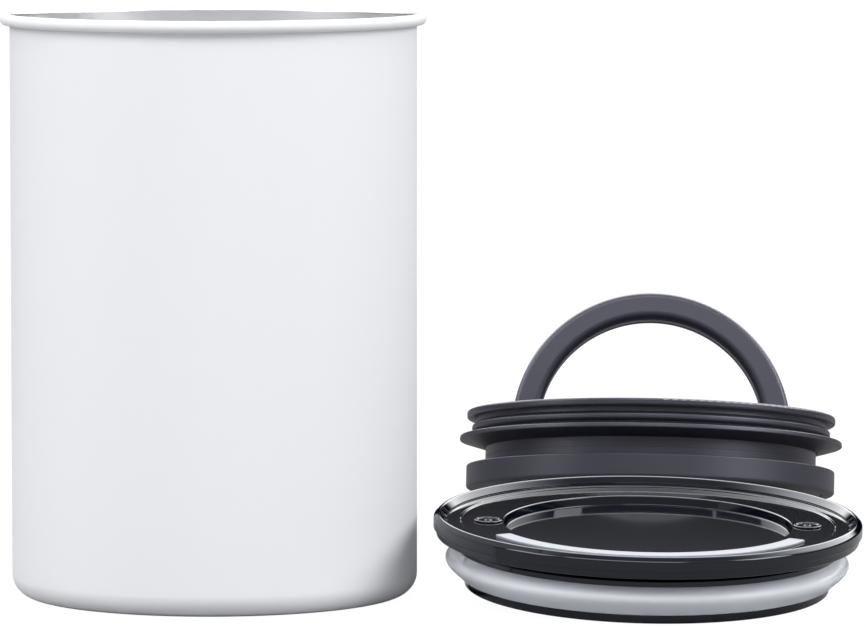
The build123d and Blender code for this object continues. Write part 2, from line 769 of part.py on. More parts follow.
def outer_lid_shell():
    """Tinted shell: stepped flange, sloped rim, flat shelf, sunk floor and a skirt with two ledges."""
    crest = (rim_crest_radius, outer_lid_height)
    flange_edge = (outer_flange_radius, outer_flange_top)
    crest_bulge = (outer_lid_height - outer_flange_top) / 4
    crest_arc = ThreePointArc(
        flange_edge,
        (outer_flange_radius - crest_bulge, outer_lid_height - crest_bulge),
        crest,
    )
    skirt_inner = skirt_radius - outer_wall
    ledge_bottom = seal_top + assembly_gap
    groove_radius = skirt_radius - seal_groove_depth
    shelf_under = shelf_height - outer_wall
    under = (
        (0, floor_height - outer_wall),
        (floor_edge_radius + outer_wall, floor_height - outer_wall),
        (floor_edge_radius + outer_wall, shelf_under),
        (skirt_inner, shelf_under),
    )
    skirt = (
        (skirt_inner, 0),
        (skirt_ring_radius, 0),
        (skirt_ring_radius, skirt_ring_height),
        (groove_radius, skirt_ring_height),
        (groove_radius, ledge_bottom),
        (ledge_radius, ledge_bottom),
        (ledge_radius, ledge_bottom + ledge_height),
        (skirt_radius, ledge_bottom + ledge_height),
        (skirt_radius, shelf_under),
    )
    lip_radius = outer_flange_radius - outer_flange_step
    flange = (
        (lip_radius - outer_wall / 2, shelf_under),
        (lip_radius - outer_wall / 2, outer_flange_bottom),
        (lip_radius, outer_flange_bottom),
        (lip_radius, outer_flange_step_height),
        (outer_flange_radius, outer_flange_step_height),
        flange_edge,
    )
    top = Polyline(
        crest,
        (rim_inner_radius, rim_inner_height),
        (rim_inner_radius, rim_inner_height - rim_step),
        (shelf_radius + rim_step, shelf_height + rim_step),
        (shelf_radius, shelf_height),
        (floor_edge_radius + floor_wall_draft, shelf_height),
        (floor_edge_radius, floor_height),
        (0, floor_height),
        (0, floor_height - outer_wall),
    )
    shell = turned(Polyline(*under, *skirt, *flange), crest_arc, top)
    boss_top = shelf_height + boss_height
    boss = rod(boss_radius, shelf_height - outer_wall / 2, boss_top)
    boss_groove = tube(boss_radius - boss_rim, boss_rim, boss_top - boss_height / 2, boss_top + overrun)
    for side in (-1, 1):
        spot = Pos(side * boss_offset, 0, 0)
        shell += spot * boss
        shell -= spot * boss_groove
    strip_seat = shelf_height - strip_depth
    return shell - arc_strip(strip_half_width + assembly_gap, strip_seat, shelf_height + overrun)


def arc_strip(half_width, bottom, top):
    """Strip with round ends that follows the front of the shelf."""
    half = math.radians(strip_half_angle)
    ends = [(side * strip_radius * math.sin(half), -strip_radius * math.cos(half)) for side in (-1, 1)]
    strip = tube(strip_radius + half_width, strip_radius - half_width, bottom, top)
    wedge_reach = 2 * strip_radius
    wedge = Polyline(
        (0, 0),
        (-wedge_reach * math.sin(half), -wedge_reach * math.cos(half)),
        (0, -2 * wedge_reach),
        (wedge_reach * math.sin(half), -wedge_reach * math.cos(half)),
        (0, 0),
    )
    strip = strip & Pos(0, 0, bottom) * extrude(make_face(wedge), top - bottom)
    for x, y in ends:
        strip += Pos(x, y, 0) * rod(half_width, bottom, top)
    return strip


def outer_lid_strip():
    """Pale soft strip let into the front of the shelf."""
    bottom = shelf_height - strip_depth + assembly_gap
    return arc_strip(strip_half_width, bottom, shelf_height + strip_proud)


def outer_lid_seal():
    """Soft ring round the skirt, swelling to the canister's mouth."""
    inner = skirt_radius - seal_groove_depth + assembly_gap
    bottom = seal_bottom - assembly_gap
    rise = Spline(
        (seal_root_radius, bottom),
        (seal_crest_radius, seal_crest_height),
        (seal_root_radius, seal_top),
        tangents=((1, 0), (-1, 0)),
    )
    rest = Polyline(
        (seal_root_radius, seal_top),
        (inner, seal_top),
        (inner, bottom),
        (seal_root_radius, bottom),
    )
    return turned(rise, rest)


inner_place = resting(
    band_radius - band_edge,
    inner_lid_place_x, inner_lid_place_y, inner_lid_lean_back, inner_lid_lean_right)
outer_place = resting(
    skirt_ring_radius, outer_lid_place_x, outer_lid_place_y, outer_lid_lean_back, outer_lid_lean_right)

fixed_pieces = {
    "canister_body": canister_body(),
}

inner_pieces = {
    "inner_lid_body": inner_lid_body(),
    "inner_lid_base": inner_lid_base(),
    "wiper_gasket": wiper_gasket(),
    "band_gasket": band_gasket(),
    "body_o_ring": body_o_ring(),
    "base_screws": base_screws(),
    "valve_seat": valve_seat(),
    "valve_cup": valve_cup(),
    "cup_screws": cup_screws(),
    "vent_screen": vent_screen(),
    "valve_spring": valve_spring(),
    "valve_plunger": valve_plunger(),
    "valve_disc": valve_disc(),
    "disc_retainer": disc_retainer(),
    "cam_follower": cam_follower(),
    "plunger_guide": plunger_guide(),
    "valve_cover": valve_cover(),
    "cover_screws": cover_screws(),
    "handle": handle(),
    "cross_shaft": cross_shaft(),
    "valve_cam": valve_cam(),
    "shaft_pins": shaft_pins(),
    "shaft_bush_left": shaft_bush(-1),
    "shaft_bush_right": shaft_bush(1),
    "bearing_cap_left": bearing_cap(-1),
    "bearing_cap_right": bearing_cap(1),
    "bearing_cap_screws": bearing_cap_screws(),
}

outer_pieces = {
    "outer_lid_shell": outer_lid_shell(),
    "outer_lid_seal": outer_lid_seal(),
    "outer_lid_strip": outer_lid_strip(),
}

placed_pieces = (
    (Pos(0, 0, 0), fixed_pieces),
    (inner_place, inner_pieces),
    (outer_place, outer_pieces),
)
for place, pieces in placed_pieces:
    for name, piece in pieces.items():
        solids = piece if isinstance(piece, list) else piece.solids()
        export_step(Compound([place * solid for solid in solids]), "parts/" + name + ".step")
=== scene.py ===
# %% [markdown]
# # A coffee canister and its two lids
# The real object is a drawn steel can with a rolled rim, coated white outside and left bare inside. A black
# plunger lid with a folding handle and a tinted snap-on lid lie beside it. The construction model holds every
# working piece at its true size, so this script opens it as a fixed frame and dresses it.

# %% Open the frame
import json
import math
import bmesh
import bpy
from mathutils import Matrix, Vector


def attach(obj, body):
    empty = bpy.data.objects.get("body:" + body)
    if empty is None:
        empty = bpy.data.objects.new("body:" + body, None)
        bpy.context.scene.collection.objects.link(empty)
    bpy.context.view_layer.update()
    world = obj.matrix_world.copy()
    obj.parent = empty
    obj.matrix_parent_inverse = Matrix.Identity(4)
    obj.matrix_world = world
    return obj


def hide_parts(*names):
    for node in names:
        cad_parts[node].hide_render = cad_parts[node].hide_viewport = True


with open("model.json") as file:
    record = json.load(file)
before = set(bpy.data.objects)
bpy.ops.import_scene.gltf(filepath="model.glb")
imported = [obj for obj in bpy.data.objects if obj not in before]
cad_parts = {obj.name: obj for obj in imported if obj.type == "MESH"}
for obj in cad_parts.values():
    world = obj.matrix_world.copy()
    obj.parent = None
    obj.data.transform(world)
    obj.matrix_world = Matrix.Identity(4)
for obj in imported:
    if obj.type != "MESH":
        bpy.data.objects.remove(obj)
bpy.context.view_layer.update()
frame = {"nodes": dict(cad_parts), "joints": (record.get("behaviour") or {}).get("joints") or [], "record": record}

mm = 0.001
joints = {joint["name"]: joint for joint in frame["joints"]}
print("pieces in the frame:", len(frame["nodes"]), "joints:", sorted(joints))

# %% [markdown]
# ## Sizes
# Every turned piece shares one set of ring sizes, so a lid keeps fitting its can. They repeat the values of
# the construction model in millimetres, and what follows from them is worked out from the names above it.
# A few depart from it where the real piece shows something else, above all the wiper, which is drawn higher
# on the neck than in the model and with a thinner tip.

# %% Sizes of the canister
canister_radius = 60.325 * mm
canister_height = 173.3 * mm
sheet_thickness = 0.6 * mm
coat_thickness = 0.06 * mm
foot_corner_radius = 6.8 * mm
foot_bead_inner_radius = 36.0 * mm
foot_bead_outer_radius = 46.0 * mm
foot_bead_height = 1.2 * mm
foot_bead_slope = 2.0 * mm
foot_bead_round = 0.8 * mm
curl_mid_radius = 1.42 * mm
curl_sweep = 300
coat_edge_angle = 112
coat_under_curl = 60
mouth_radius = canister_radius - sheet_thickness

# %% Sizes of the inner lid
band_radius = mouth_radius - 0.125 * mm
band_height = 7.4 * mm
band_wall = 4.0 * mm
band_edge = 0.5 * mm
base_lift = 0.4 * mm
neck_radius = band_radius - 6.1 * mm
recess_radius = neck_radius - 2.9 * mm
inner_lid_height = 25.0 * mm
top_flange_bottom = inner_lid_height - 2.4 * mm
wiper_rib_top = top_flange_bottom - 1.5 * mm
wiper_rib_radius = neck_radius + 4.5 * mm
wiper_rib_round = 0.9 * mm
wiper_rib_shoulder = 1.0 * mm
wiper_groove_radius = neck_radius + 3.3 * mm
wiper_groove_height = wiper_rib_top - 3.2 * mm
wiper_tip_height = wiper_rib_top - 4.5 * mm
wiper_tip_thickness = 1.3 * mm
wiper_tip_below = 1.0 * mm
wiper_tip_above = 0.3 * mm
wiper_tip_setback = 0.15 * mm
wiper_bottom = wiper_rib_top - 7.9 * mm
wiper_lip_radius = mouth_radius + 2.2 * mm
fit_gap = 0.05 * mm
print("mouth", round(mouth_radius / mm, 2), "wiper lip", round(wiper_lip_radius / mm, 2))

# %% Sizes of the handle
handle_outer_radius = recess_radius - 5.5 * mm
handle_width = 8.7 * mm
handle_inner_radius = handle_outer_radius - handle_width
handle_thickness = 9.0 * mm
handle_corner = 1.6 * mm
handle_grip_round = 3.6 * mm
handle_groove_half = 0.5 * mm
handle_groove_depth = 0.6 * mm
handle_hub_radius = 5.1 * mm
handle_hub_overhang = 0.3 * mm
handle_pivot_height = inner_lid_height - 5.2 * mm
handle_rest_lean = 5.0

# %% Sizes of the outer lid
outer_lid_height = 21.6 * mm
outer_wall = 2.0 * mm
outer_flange_radius = canister_radius + 3.025 * mm
outer_flange_top = outer_lid_height - 1.6 * mm
outer_flange_bottom = outer_flange_top - 5.2 * mm
outer_flange_step = 0.9 * mm
outer_flange_step_height = outer_flange_bottom + 2.1 * mm
rim_crest_radius = outer_flange_radius - 1.75 * mm
rim_inner_radius = outer_flange_radius - 3.9 * mm
rim_inner_height = outer_lid_height - 2.0 * mm
rim_step = 0.4 * mm
shelf_radius = rim_inner_radius - 4.3 * mm
shelf_height = outer_lid_height - 2.8 * mm
floor_edge_radius = shelf_radius - 13.0 * mm
floor_height = shelf_height - 2.7 * mm
floor_wall_draft = 0.4 * mm
skirt_radius = mouth_radius - 6.525 * mm
skirt_ring_radius = skirt_radius + 0.67 * mm
skirt_ring_height = 2.6 * mm
ledge_radius = skirt_radius + 3.3 * mm
ledge_height = 1.7 * mm
seal_bottom = 2.8 * mm
seal_top = 11.2 * mm
seal_crest_radius = mouth_radius - 0.1 * mm
seal_groove_depth = 0.6 * mm
seal_root_radius = skirt_radius + 2.0 * mm
boss_offset = shelf_radius - 8.0 * mm
boss_radius = 4.2 * mm
boss_height = 0.5 * mm
boss_sunk = 0.3 * mm
strip_radius = shelf_radius - 6.6 * mm
strip_half_width = 2.6 * mm
strip_proud = 0.7 * mm
strip_sunk = 0.5 * mm
strip_half_angle = 61.0
print("outer flange", round(outer_flange_radius / mm, 2), "shelf", round(shelf_radius / mm, 2))

# %% [markdown]
# ## Places of the lids
# Both lids lie on the table and lean, resting on one edge of their round foot. A lid is easiest to model
# upright about its own axis and to tip at the end, so each lid has one matrix that turns its local sizes into
# the scene. The hinge of the handle in the frame tells whether that matrix is right.

# %% Leaning places
def resting_place(foot_radius, x, y, lean_back, lean_right):
    """Place of a lid that leans by two angles in degrees, with the low edge of its foot on the table."""
    tilt_cosine = math.cos(math.radians(lean_back)) * math.cos(math.radians(lean_right))
    height = foot_radius * math.sqrt(1 - tilt_cosine ** 2)
    to_right = Matrix.Rotation(math.radians(lean_right), 4, "Y")
    to_back = Matrix.Rotation(-math.radians(lean_back), 4, "X")
    return Matrix.Translation((x, y, height)) @ to_right @ to_back


upright_place = Matrix.Identity(4)
inner_place = resting_place(band_radius - band_edge, 135.3 * mm, 173.1 * mm, lean_back=11.0, lean_right=1.3)
outer_place = resting_place(skirt_ring_radius, 128.2 * mm, -17.4 * mm, lean_back=-4.7, lean_right=1.0)
handle_place = (
    inner_place
    @ Matrix.Translation((0, 0, handle_pivot_height))
    @ Matrix.Rotation(-math.radians(handle_rest_lean), 4, "X")
)
hinge_error = (handle_place.translation - Vector(joints["handle_fold"]["pos_m"])).length
print("hinge is off by", round(hinge_error / mm, 4), "mm")

# %% [markdown]
# ## Finishes
# These finishes cover what shows. Powder coat is a matt white with a very fine grain. The bare steel keeps
# fine drawing lines round the can. The black mouldings are satin and the rubber rings a little duller. The
# tint of the outer lid is so deep that a polished near-black stands for it, and its soft ring is milky.
# Patterns read object coordinates in metres, so their grain has a real size whatever the piece.

# %% Material helpers
def new_finish(name, colour, roughness, metallic=0.0, **sockets):
    """A material with one main shader. The other sockets are written with underlines for blanks."""
    finish = bpy.data.materials.new(name)
    finish.use_nodes = True
    shader = finish.node_tree.nodes["Principled BSDF"]
    shader.inputs["Base Color"].default_value = (*colour, 1.0)
    shader.inputs["Roughness"].default_value = roughness
    shader.inputs["Metallic"].default_value = metallic
    for socket, value in sockets.items():
        shader.inputs[socket.replace("_", " ")].default_value = value
    return finish


def add_grain(finish, scale, depth, stretch=(1, 1, 1)):
    """Fine relief from noise on object coordinates. Scale is in grains per metre, depth in metres."""
    tree = finish.node_tree
    place = tree.nodes.new("ShaderNodeTexCoord")
    mapping = tree.nodes.new("ShaderNodeMapping")
    mapping.inputs["Scale"].default_value = stretch
    noise = tree.nodes.new("ShaderNodeTexNoise")
    noise.inputs["Scale"].default_value = scale
    noise.inputs["Detail"].default_value = 2.0
    bump = tree.nodes.new("ShaderNodeBump")
    bump.inputs["Strength"].default_value = 1.0
    bump.inputs["Distance"].default_value = depth
    tree.links.new(place.outputs["Object"], mapping.inputs["Vector"])
    tree.links.new(mapping.outputs["Vector"], noise.inputs["Vector"])
    tree.links.new(noise.outputs["Fac"], bump.inputs["Height"])
    tree.links.new(bump.outputs["Normal"], tree.nodes["Principled BSDF"].inputs["Normal"])


# %% Coated and bare steel
# The drawing lines are long round the can and thousands to the metre up its wall.
drawing_lines = (25, 25, 9000)
powder_coat = new_finish("powder_coat", (0.77, 0.78, 0.81), 0.6)
add_grain(powder_coat, 2200, 0.006 * mm)
bare_steel = new_finish("bare_steel", (0.86, 0.86, 0.88), 0.3, metallic=1.0)
add_grain(bare_steel, 1.0, 0.02 * mm, stretch=drawing_lines)
small_steel = new_finish("small_steel", (0.58, 0.58, 0.6), 0.25, metallic=1.0)
brass = new_finish("brass", (0.62, 0.44, 0.18), 0.3, metallic=1.0)

# %% Black plastic and rubber
# The blue in this black and the cool tint of its gloss are a painted cool cast of the studio light in shade and in
# reflections, not a colour of the plastic or the rubber.
soot_black = (0.005, 0.005, 0.013)
painted_cool_cast = (0.86, 0.86, 1.0, 1.0)
black_plastic = new_finish(
    "black_plastic", soot_black, 0.42, Specular_IOR_Level=0.95, Specular_Tint=painted_cool_cast)
add_grain(black_plastic, 1600, 0.01 * mm)
black_rubber = new_finish(
    "black_rubber", soot_black, 0.46, Specular_IOR_Level=1.0, Specular_Tint=painted_cool_cast)
add_grain(black_rubber, 2400, 0.006 * mm)
white_plastic = new_finish("white_plastic", (0.72, 0.72, 0.7), 0.4)

# %% Tinted lid and milky seal
# The cool tint of this finish's gloss is painted cool cast as well, a colour of the light in its reflections.
smoked_plastic = new_finish(
    "smoked_plastic", (0.002, 0.003, 0.007), 0.06, IOR=1.5, Specular_Tint=(0.88, 0.92, 1.0, 1.0))
milky_seal = new_finish(
    "milky_seal", (0.92, 0.95, 1.0), 0.12, IOR=1.03, Transmission_Weight=0.5, Coat_Weight=0.6, Coat_IOR=1.4,
    Coat_Roughness=0.25)
# The strip's pale colour is a painted highlight, the light caught along the front of a raised rib on the shelf,
# not a colour of the lid.
painted_highlight_strip = new_finish("painted_highlight_strip", (0.24, 0.26, 0.30), 0.35)
print("finishes:", len(bpy.data.materials))

# %% [markdown]
# ## Turned pieces
# Almost every piece here is round: it was drawn, spun or moulded about one axis. A small Geometry Nodes tree
# carries an outline round a circle, as a lathe does, and the outline is all that a piece has to say. Real
# edges are never perfectly sharp, so an outline names its corners with the radius that rounds each of them.

# %% Outline helpers
# An arc takes at most this share of a side, and a point just outside each end of it keeps the flats flat.
longest_cut = 0.45
guard_reach = 1.1
corner_step = 12
least_corner_steps = 3


def rounded(corners, closed=True):
    """Outline from corners of (radius, height, edge rounding), with an arc at each rounded corner."""
    outline = []
    count = len(corners)
    for number, (x, y, rounding) in enumerate(corners):
        here = Vector((x, y))
        if rounding == 0 or (not closed and number in (0, count - 1)):
            outline.append(here)
            continue
        back = Vector(corners[number - 1][:2]) - here
        ahead = Vector(corners[(number + 1) % count][:2]) - here
        half = back.angle(ahead) / 2
        cut = min(rounding / math.tan(half), longest_cut * back.length, longest_cut * ahead.length)
        middle = here + (back.normalized() + ahead.normalized()).normalized() * cut / math.cos(half)
        first = here + back.normalized() * cut - middle
        swing = first.angle_signed(here + ahead.normalized() * cut - middle)
        steps = max(least_corner_steps, math.ceil(abs(swing) / math.radians(corner_step)))
        outline.append(here + back.normalized() * cut * guard_reach)
        for step in range(steps + 1):
            outline.append(middle + Matrix.Rotation(-swing * step / steps, 2) @ first)
        outline.append(here + ahead.normalized() * cut * guard_reach)
    return outline


def arc(centre, radius, start, sweep, step=6):
    """Points of an arc in radius and height, angles in degrees."""
    steps = max(2, math.ceil(abs(sweep) / step))
    angles = [math.radians(start + sweep * number / steps) for number in range(steps + 1)]
    return [Vector((centre[0] + radius * math.cos(a), centre[1] + radius * math.sin(a))) for a in angles]


# %% Tree helpers
weld_distance = 0.0005 * mm


def new_tree(name, sockets):
    """Geometry Nodes tree with an outline, the named sockets and a finish to fill in, and its identifiers."""
    tree = bpy.data.node_groups.new(name, "GeometryNodeTree")
    face = tree.interface
    face.new_socket("Outline", in_out="INPUT", socket_type="NodeSocketGeometry")
    identifiers = {}
    for label, kind in sockets + (("Finish", "NodeSocketMaterial"),):
        identifiers[label] = face.new_socket(label, in_out="INPUT", socket_type=kind).identifier
    face.new_socket("Piece", in_out="OUTPUT", socket_type="NodeSocketGeometry")
    return tree, identifiers


def end_tree(tree, group_in, path, caps=False, width=None):
    """Carry the outline along the path, weld and smooth it, and end in a plain mesh with its finish."""
    new = tree.nodes.new
    link = tree.links.new
    outline = new("GeometryNodeMeshToCurve")
    normal = new("GeometryNodeSetCurveNormal")
    normal.mode = "Z_UP"
    carry = new("GeometryNodeCurveToMesh")
    carry.inputs["Fill Caps"].default_value = caps
    weld = new("GeometryNodeMergeByDistance")
    weld.inputs["Distance"].default_value = weld_distance
    smooth = new("GeometryNodeSetShadeSmooth")
    realize = new("GeometryNodeRealizeInstances")
    finish = new("GeometryNodeSetMaterial")
    group_out = new("NodeGroupOutput")
    link(group_in.outputs["Outline"], outline.inputs["Mesh"])
    link(path.outputs["Curve"], normal.inputs["Curve"])
    link(normal.outputs["Curve"], carry.inputs["Curve"])
    link(outline.outputs["Curve"], carry.inputs["Profile Curve"])
    if width is not None:
        link(width, carry.inputs["Scale"])
    link(carry.outputs["Mesh"], weld.inputs["Geometry"])
    link(weld.outputs["Geometry"], smooth.inputs["Geometry"])
    link(smooth.outputs["Geometry"], realize.inputs["Geometry"])
    link(realize.outputs["Geometry"], finish.inputs["Geometry"])
    link(group_in.outputs["Finish"], finish.inputs["Material"])
    link(finish.outputs["Geometry"], group_out.inputs["Piece"])


# %% Lathe tree
lathe, lathe_inputs = new_tree("lathe", (
    ("Circle Radius", "NodeSocketFloat"),
    ("Steps Round", "NodeSocketInt"),
))
lathe_in = lathe.nodes.new("NodeGroupInput")
circle = lathe.nodes.new("GeometryNodeCurvePrimitiveCircle")
lathe.links.new(lathe_in.outputs["Circle Radius"], circle.inputs["Radius"])
lathe.links.new(lathe_in.outputs["Steps Round"], circle.inputs["Resolution"])
end_tree(lathe, lathe_in, circle)
print("lathe tree:", len(lathe.nodes), "nodes")

# %% From a tree to a finished mesh
shortest_edge = 0.00001 * mm


def outline_object(outlines, offset):
    """Loose edges in the XY plane, heights turned down as the carried curve turns them up again."""
    vertices = []
    edges = []
    for points, closed in outlines:
        first = len(vertices)
        vertices += [(point.x - offset, -point.y, 0.0) for point in points]
        edges += [(first + n, first + n + 1) for n in range(len(points) - 1)]
        if closed:
            edges.append((first + len(points) - 1, first))
    mesh = bpy.data.meshes.new("outline")
    mesh.from_pydata(vertices, edges, [])
    outline = bpy.data.objects.new("outline", mesh)
    bpy.context.scene.collection.objects.link(outline)
    return outline


def run_tree(maker, tree, identifiers, settings):
    """Give an outline its tree, with settings by the labels of the tree's inputs."""
    modifier = maker.modifiers.new(tree.name, "NODES")
    modifier.node_group = tree
    for label, value in settings.items():
        modifier[identifiers[label]] = value


def settle(maker, name, place):
    """The evaluated result as a plain mesh object at the origin, faces outwards, placed in its vertices."""
    depsgraph = bpy.context.evaluated_depsgraph_get()
    mesh = bpy.data.meshes.new_from_object(maker.evaluated_get(depsgraph))
    bpy.data.objects.remove(maker)
    shape = bmesh.new()
    shape.from_mesh(mesh)
    bmesh.ops.dissolve_degenerate(shape, dist=shortest_edge, edges=shape.edges)
    bmesh.ops.recalc_face_normals(shape, faces=shape.faces)
    open_edges = sum(not edge.is_manifold for edge in shape.edges)
    shape.to_mesh(mesh)
    shape.free()
    mesh.transform(place)
    piece = bpy.data.objects.new(name, mesh)
    bpy.context.scene.collection.objects.link(piece)
    print(name, "faces", len(mesh.polygons), "open edges", open_edges)
    return piece


def turn(name, outlines, finish, place, steps_round=256):
    """Piece turned about its own axis from pairs of an outline and whether it is closed."""
    maker = outline_object(outlines, canister_radius)
    settings = {"Circle Radius": canister_radius, "Steps Round": steps_round, "Finish": finish}
    run_tree(maker, lathe, lathe_inputs, settings)
    return settle(maker, name, place)


# %% [markdown]
# ## The canister
# The real can is one disc of steel drawn deep, trimmed, and curled outwards at its rim. The coat is sprayed
# on outside and stops on top of the roll, where bare steel begins. Two closed skins tell this better than one
# mesh with two colours: the sheet, and the thin coat that lies on it. The coat's own underside stops a hair
# above the sheet, so the two faces never fall in one place.

# %% Lines of the canister
curl_centre = Vector((
    canister_radius - sheet_thickness / 2 + curl_mid_radius,
    canister_height - curl_mid_radius - sheet_thickness / 2,
))
curl_outer = curl_mid_radius + sheet_thickness / 2
curl_inner = curl_mid_radius - sheet_thickness / 2
curl_end = 180 - curl_sweep
corner_centre = Vector((canister_radius - foot_corner_radius, foot_corner_radius))
coat_depth = 0.9 * coat_thickness
foot_steps = (
    (foot_bead_outer_radius, 0),
    (foot_bead_outer_radius - foot_bead_slope, foot_bead_height),
    (foot_bead_inner_radius + foot_bead_slope, foot_bead_height),
    (foot_bead_inner_radius, 0),
)


def foot_line(lift):
    """Foot from the corner in to the axis, at a height above the underside."""
    corners = [(corner_centre.x, lift, 0)]
    corners += [(radius, height + lift, foot_bead_round) for radius, height in foot_steps]
    return rounded(corners + [(0, lift, 0)], closed=False)


def outside_line(depth):
    """Outside of the can from the axis up to the roll, at a depth under the surface."""
    foot = list(reversed(foot_line(depth)))
    corner = arc(corner_centre, foot_corner_radius - depth, -90, 90)
    return foot[:-1] + corner


def wall_line(depth):
    """Outside of the can and on into the roll, as far as the coat reaches."""
    return outside_line(depth) + arc(curl_centre, curl_inner + depth, 180, -coat_under_curl)


def roll_line(depth):
    """Outside of the roll, from its cut edge up to where the coat stops."""
    return arc(curl_centre, curl_outer - depth, curl_end, coat_edge_angle - curl_end)


# %% Canister sheet and coat
sheet_line = (
    outside_line(coat_thickness)
    + arc(curl_centre, curl_inner + coat_thickness, 180, -curl_sweep)
    + roll_line(coat_thickness)
    + arc(curl_centre, curl_outer, coat_edge_angle, 180 - coat_edge_angle)
    + arc(corner_centre, foot_corner_radius - sheet_thickness, 0, -90)
    + foot_line(sheet_thickness)[1:]
)
wall_skin = wall_line(0) + list(reversed(wall_line(coat_depth)))
roll_skin = roll_line(0) + list(reversed(roll_line(coat_depth)))
canister_sheet = turn("canister_sheet", [(sheet_line, False)], bare_steel, upright_place)
canister_coat = turn("canister_coat", [(wall_skin, False), (roll_skin, True)], powder_coat, upright_place)
for piece, slot in ((canister_sheet, "steel"), (canister_coat, "coated_steel")):
    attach(piece, "canister")
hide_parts("canister_body")

# %% [markdown]
# ## Gaskets of the inner lid
# The wiper is one rubber moulding: a round rib that fills the collar's groove, and below it a lip that thins
# towards its tip and wipes the wall of the can. The band below is broad, with small rounded edges.

# %% Wiper and band
tip_inner = wiper_lip_radius - 1.4 * wiper_tip_thickness
tip_inner_height = wiper_tip_height + 0.42 * wiper_tip_thickness
wiper_outline = rounded([
    (neck_radius + fit_gap, wiper_bottom, 0.3 * mm),
    (wiper_lip_radius, wiper_tip_height - wiper_tip_below, 0.35 * mm),
    (wiper_lip_radius - wiper_tip_setback, wiper_tip_height + wiper_tip_above, 0.35 * mm),
    (tip_inner, tip_inner_height, 1.0 * mm),
    (wiper_groove_radius, wiper_groove_height, 0.25 * mm),
    (wiper_groove_radius + 0.4 * mm, wiper_groove_height + 0.2 * mm, 0.2 * mm),
    (wiper_rib_radius, wiper_groove_height + wiper_rib_round, wiper_rib_round),
    (wiper_rib_radius, wiper_rib_top - wiper_rib_shoulder, wiper_rib_round),
    (wiper_rib_radius - wiper_rib_round, wiper_rib_top - fit_gap, 0.3 * mm),
    (neck_radius + fit_gap, wiper_rib_top - fit_gap, 0.1 * mm),
])
wiper = turn("wiper_ring", [(wiper_outline, True)], black_rubber, inner_place)
base_radius = band_radius - band_wall
rim_top = band_height - base_lift + fit_gap
band_outline = rounded([
    (base_radius + fit_gap, 0, 0.2 * mm),
    (band_radius, 0, 0.9 * mm),
    (band_radius, band_height, 0.35 * mm),
    (neck_radius + fit_gap, band_height, 0.1 * mm),
    (neck_radius + fit_gap, rim_top, 0.05 * mm),
    (base_radius + fit_gap, rim_top, 0.05 * mm),
])
band = turn("rubber_band", [(band_outline, True)], black_rubber, inner_place)
for piece, node in ((wiper, "wiper_gasket"), (band, "band_gasket")):
    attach(piece, "inner_lid")
    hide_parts(node)

# %% [markdown]
# ## The handle
# The handle is a half ring with a rounded section, moulded in one with a round hub at each foot. A groove runs
# along its inner side. The ring is an outline carried along a half circle by a second tree, and the hubs are
# turned. The tree can also narrow its ends to round ones, which the strip of the outer lid needs: a low raised rib
# whose pale colour is a painted highlight.

# %% Maths helper
def maths(tree, operation, *values, clamp=False):
    """Maths node whose inputs are numbers or the outputs of other nodes."""
    node = tree.nodes.new("ShaderNodeMath")
    node.operation = operation
    node.use_clamp = clamp
    for socket, value in zip(node.inputs, values):
        if isinstance(value, (int, float)):
            socket.default_value = value
        else:
            tree.links.new(value, socket)
    return node.outputs[0]


# %% Sweep tree
# The width of a round end is the square root of this less a square. It is a hair over 1, so that no end
# shrinks to a point.
full_square = 1.0001
sweep, sweep_inputs = new_tree("sweep_along_arc", (
    ("Arc Radius", "NodeSocketFloat"),
    ("Start Angle", "NodeSocketFloat"),
    ("Sweep Angle", "NodeSocketFloat"),
    ("Steps Along", "NodeSocketInt"),
    ("Round End Length", "NodeSocketFloat"),
))
sweep_in = sweep.nodes.new("NodeGroupInput")
arc_path = sweep.nodes.new("GeometryNodeCurveArc")
for label, socket in (
    ("Arc Radius", "Radius"),
    ("Start Angle", "Start Angle"),
    ("Sweep Angle", "Sweep Angle"),
    ("Steps Along", "Resolution"),
):
    sweep.links.new(sweep_in.outputs[label], arc_path.inputs[socket])
along = sweep.nodes.new("GeometryNodeSplineParameter").outputs["Length"]
total = maths(sweep, "MULTIPLY", sweep_in.outputs["Arc Radius"], sweep_in.outputs["Sweep Angle"])
from_end = maths(sweep, "MINIMUM", along, maths(sweep, "SUBTRACT", total, along))
part = maths(sweep, "DIVIDE", from_end, sweep_in.outputs["Round End Length"], clamp=True)
left = maths(sweep, "SUBTRACT", 1.0, part)
width_squared = maths(sweep, "SUBTRACT", full_square, maths(sweep, "MULTIPLY", left, left))
end_tree(sweep, sweep_in, arc_path, caps=True, width=maths(sweep, "SQRT", width_squared))
print("sweep tree:", len(sweep.nodes), "nodes")


def carry_along(name, outline, arc_radius, start, swept, steps, round_end, finish, place):
    """Piece that carries a closed outline along an arc, angles in degrees."""
    maker = outline_object([(outline, True)], arc_radius)
    settings = {
        "Arc Radius": arc_radius,
        "Start Angle": math.radians(start),
        "Sweep Angle": math.radians(swept),
        "Steps Along": steps,
        "Round End Length": round_end,
        "Finish": finish,
    }
    run_tree(maker, sweep, sweep_inputs, settings)
    return settle(maker, name, place)


